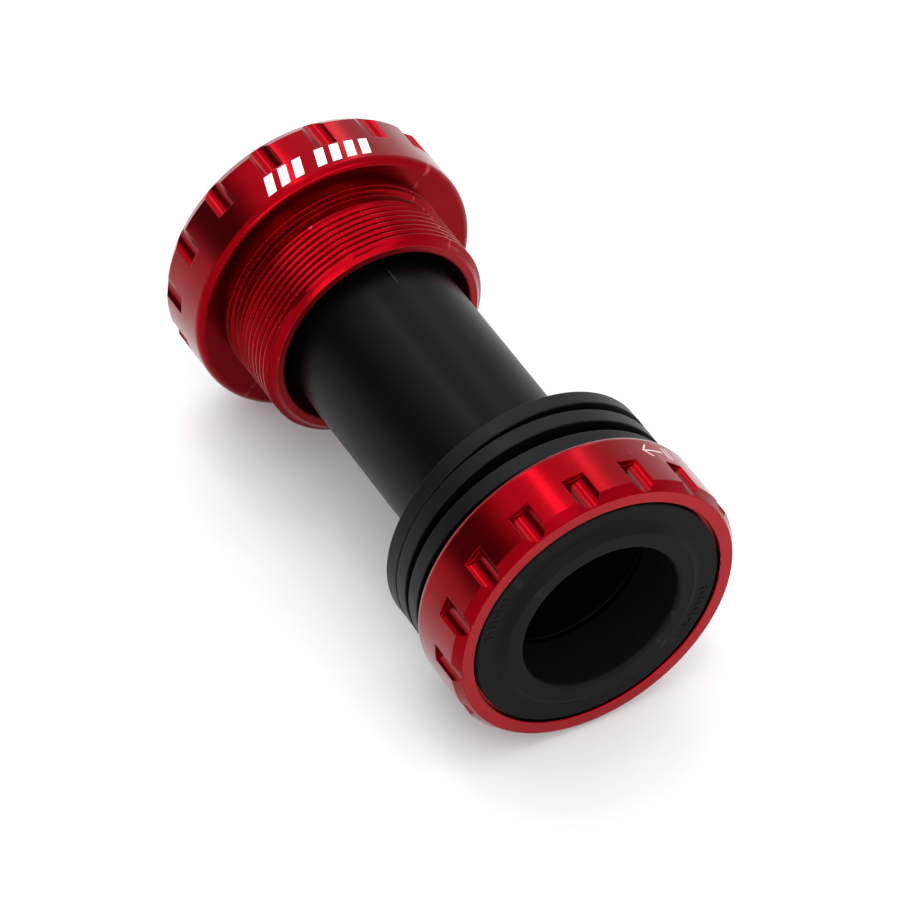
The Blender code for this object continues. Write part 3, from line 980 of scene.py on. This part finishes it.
def steel(name, roughness, marks):
    graph = Graph(name)
    rings = graph.turning(marks)
    cloud = graph.noise(graph.object, 240.0, 3.0)
    tint = graph.mix(cloud, (0.50, 0.50, 0.51), (0.62, 0.62, 0.62))
    rough = graph.spread(rings, 0.3, 0.7, roughness - 0.05, roughness + 0.06)
    return graph.set(Base_Color=tint, Metallic=1.0, Roughness=rough,
                     Normal=graph.bump(rings, 0.0015 * MM))


def nylon():
    graph = Graph("cage_nylon_moulded")
    grain = graph.noise(graph.object, 2600.0, 4.0)
    cloud = graph.noise(graph.object, 300.0, 3.0)
    tint = graph.mix(cloud, (0.50, 0.45, 0.34), (0.58, 0.53, 0.42))
    return graph.set(Base_Color=tint, Roughness=graph.spread(grain, 0.3, 0.7, 0.42, 0.56),
                     Normal=graph.bump(grain, 0.004 * MM))


def white_ink():
    graph = Graph("print_white")
    grain = graph.noise(graph.object, 3800.0, 4.0)
    cloud = graph.noise(graph.object, 700.0, 3.0)
    tint = graph.mix(graph.spread(cloud, 0.3, 0.7), (0.70, 0.68, 0.68), (0.84, 0.83, 0.83))
    return graph.set(Base_Color=tint, Roughness=graph.spread(grain, 0.3, 0.7, 0.48, 0.62),
                     Normal=graph.bump(grain, 0.003 * MM))


def bare_etching():
    graph = Graph("etched_pale")
    grain = graph.noise(graph.object, 5200.0, 3.0)
    tint = graph.mix(graph.spread(grain, 0.35, 0.65), (0.52, 0.34, 0.34), (0.80, 0.68, 0.67))
    return graph.set(Base_Color=tint, Metallic=0.3, Roughness=graph.spread(grain, 0.3, 0.7, 0.4, 0.6),
                     Normal=graph.bump(grain, 0.004 * MM))


def floor_paper():
    graph = Graph("floor_pale")
    mottle = graph.noise(graph.object, 45.0, 4.0)
    fibre = graph.noise(graph.object, 1500.0, 3.0)
    tint = graph.mix(graph.spread(mottle, 0.3, 0.7), (0.755, 0.76, 0.765), (0.795, 0.795, 0.795))
    return graph.set(Base_Color=tint, Roughness=0.55, Normal=graph.bump(fibre, 0.01 * MM))


# ---------------------------------------------------------------- stage

CAMERA_PLACE = Vector((-0.27551, -0.48833, 0.56535))
CAMERA_RIGHT = Vector((0.87019, -0.49271, 0.0))
CAMERA_UP = Vector((0.35167, 0.62108, 0.70042))
CAMERA_LENS = 229.31
SENSOR_WIDTH = 36.0
FLOOR_HALF = 1.6
FLOOR_DROP = 0.00002
FLOOR_FLAT = 1.0
FLOOR_RISE = 0.05


def make_camera():
    data = bpy.data.cameras.new("camera")
    data.lens = CAMERA_LENS
    data.sensor_width = SENSOR_WIDTH
    data.clip_start = 0.01
    camera = bpy.data.objects.new("camera", data)
    bpy.context.scene.collection.objects.link(camera)
    right = CAMERA_RIGHT.normalized()
    up = (CAMERA_UP - CAMERA_UP.dot(right) * right).normalized()
    turn = Matrix((right, up, right.cross(up))).transposed()
    camera.matrix_world = Matrix.Translation(CAMERA_PLACE) @ turn.to_4x4()
    bpy.context.scene.camera = camera


def make_floor():
    """A wide pale sheet that the flanges stand on, with a slow rise far away."""
    low = cad_bounds[0].z
    surface = bmesh.new()
    bmesh.ops.create_grid(surface, x_segments=24, y_segments=24, size=FLOOR_HALF)
    for vert in surface.verts:
        away = max(0.0, vert.co.xy.length - FLOOR_FLAT)
        vert.co.z = low - FLOOR_DROP + FLOOR_RISE * away ** 2
    mesh = bpy.data.meshes.new("floor")
    surface.to_mesh(mesh)
    surface.free()
    mesh.shade_smooth()
    floor = new_piece("floor", mesh, [floor_paper()])


def softbox(name, direction, distance, size, radiance):
    """A soft rectangular light that looks at the object from a direction."""
    data = bpy.data.lights.new(name, "AREA")
    data.shape = "RECTANGLE"
    data.size, data.size_y = size
    data.energy = radiance * pi * size[0] * size[1]
    light = bpy.data.objects.new(name, data)
    bpy.context.scene.collection.objects.link(light)
    away = Vector(direction).normalized()
    turn = away.to_track_quat("Z", "Y").to_matrix().to_4x4()
    light.matrix_world = Matrix.Translation(away * distance) @ turn


# Each soft light: its name, the way to it, its distance, its sides and its radiance.
LIGHTS = (
    ("panel", (0.10, 0.62, 0.78), 0.9, (1.0, 0.75), 0.5),
    ("strip_left", (-0.02, 0.6045, 0.797), 0.8, (0.055, 0.7), 7.0),
    ("strip_right", (0.505, 0.6045, 0.616), 0.8, (0.036, 0.6), 4.2),
    ("zenith", (-0.1, -0.15, 1.0), 0.9, (0.7, 0.7), 0.8),
    ("window_left", (-0.325, -0.80, 0.50), 1.2, (0.50, 0.6), 3.0),
    ("window_right", (0.24, -0.83, 0.50), 1.2, (0.95, 0.6), 1.6),
)


def make_lights():
    for light in LIGHTS:
        softbox(*light)


# The tent round the object: even white, with a dim patch behind it to the left and low.
TENT_RADIANCE = 1.25
DIM_RADIANCE = 0.16
DIM_DIRECTION = (-0.727, 0.6045, 0.327)
DIM_INNER = radians(6)
DIM_OUTER = radians(27)


def make_world():
    world = bpy.data.worlds.new("studio")
    bpy.context.scene.world = world
    world.use_nodes = True
    tree = world.node_tree
    direction = tree.nodes.new("ShaderNodeTexCoord").outputs["Generated"]
    nearness = tree.nodes.new("ShaderNodeVectorMath")
    nearness.operation = "DOT_PRODUCT"
    nearness.inputs[1].default_value = Vector(DIM_DIRECTION).normalized()
    tree.links.new(direction, nearness.inputs[0])
    level = tree.nodes.new("ShaderNodeMapRange")
    level.interpolation_type = "SMOOTHSTEP"
    level.inputs["From Min"].default_value = cos(DIM_OUTER)
    level.inputs["From Max"].default_value = cos(DIM_INNER)
    level.inputs["To Min"].default_value = TENT_RADIANCE
    level.inputs["To Max"].default_value = DIM_RADIANCE
    tree.links.new(nearness.outputs["Value"], level.inputs["Value"])
    background = tree.nodes["Background"]
    background.inputs["Color"].default_value = (0.98, 0.99, 1.0, 1.0)
    tree.links.new(level.outputs["Result"], background.inputs["Strength"])


def make_object():
    red = [red_turned("red_band", 0.19, 9.0, 0.0009), red_blasted("red_face"),
           red_turned("red_thread", 0.22, 12.0, 0.0008)]
    cap = black_plastic("cap_moulded", (0.0030, 0.0030, 0.0031), 0.5, 3200.0, 0.006, 0.06)
    spacer = black_plastic("spacer_grained", (0.0014, 0.0014, 0.0016), 0.42, 2600.0, 0.008, 0.12)
    rubber = black_plastic("seal_moulded", (0.012, 0.012, 0.013), 0.6, 2200.0, 0.01, 0.4)
    o_ring = black_plastic("o_ring_moulded", (0.010, 0.010, 0.010), 0.55, 2600.0, 0.008, 0.4)
    ground = steel("steel_ground", 0.22, 14.0)
    lapped = steel("steel_lapped", 0.1, 20.0)
    cage = nylon()
    for side in SIDES:
        make_cup(side, red)
        make_outer_ring(side, ground)
        make_inner_ring(side, ground)
        make_balls(side, lapped)
        make_cage(side, cage)
        make_seals(side, rubber)
        make_cap(side, cap)
    make_sleeve(sleeve_plastic())
    make_o_rings(o_ring)
    make_spacers(spacer)
    make_print(white_ink())
    make_etching(bare_etching())


make_object()
make_floor()
make_lights()
make_world()
make_camera()
bpy.context.scene.view_settings.view_transform = "Standard"
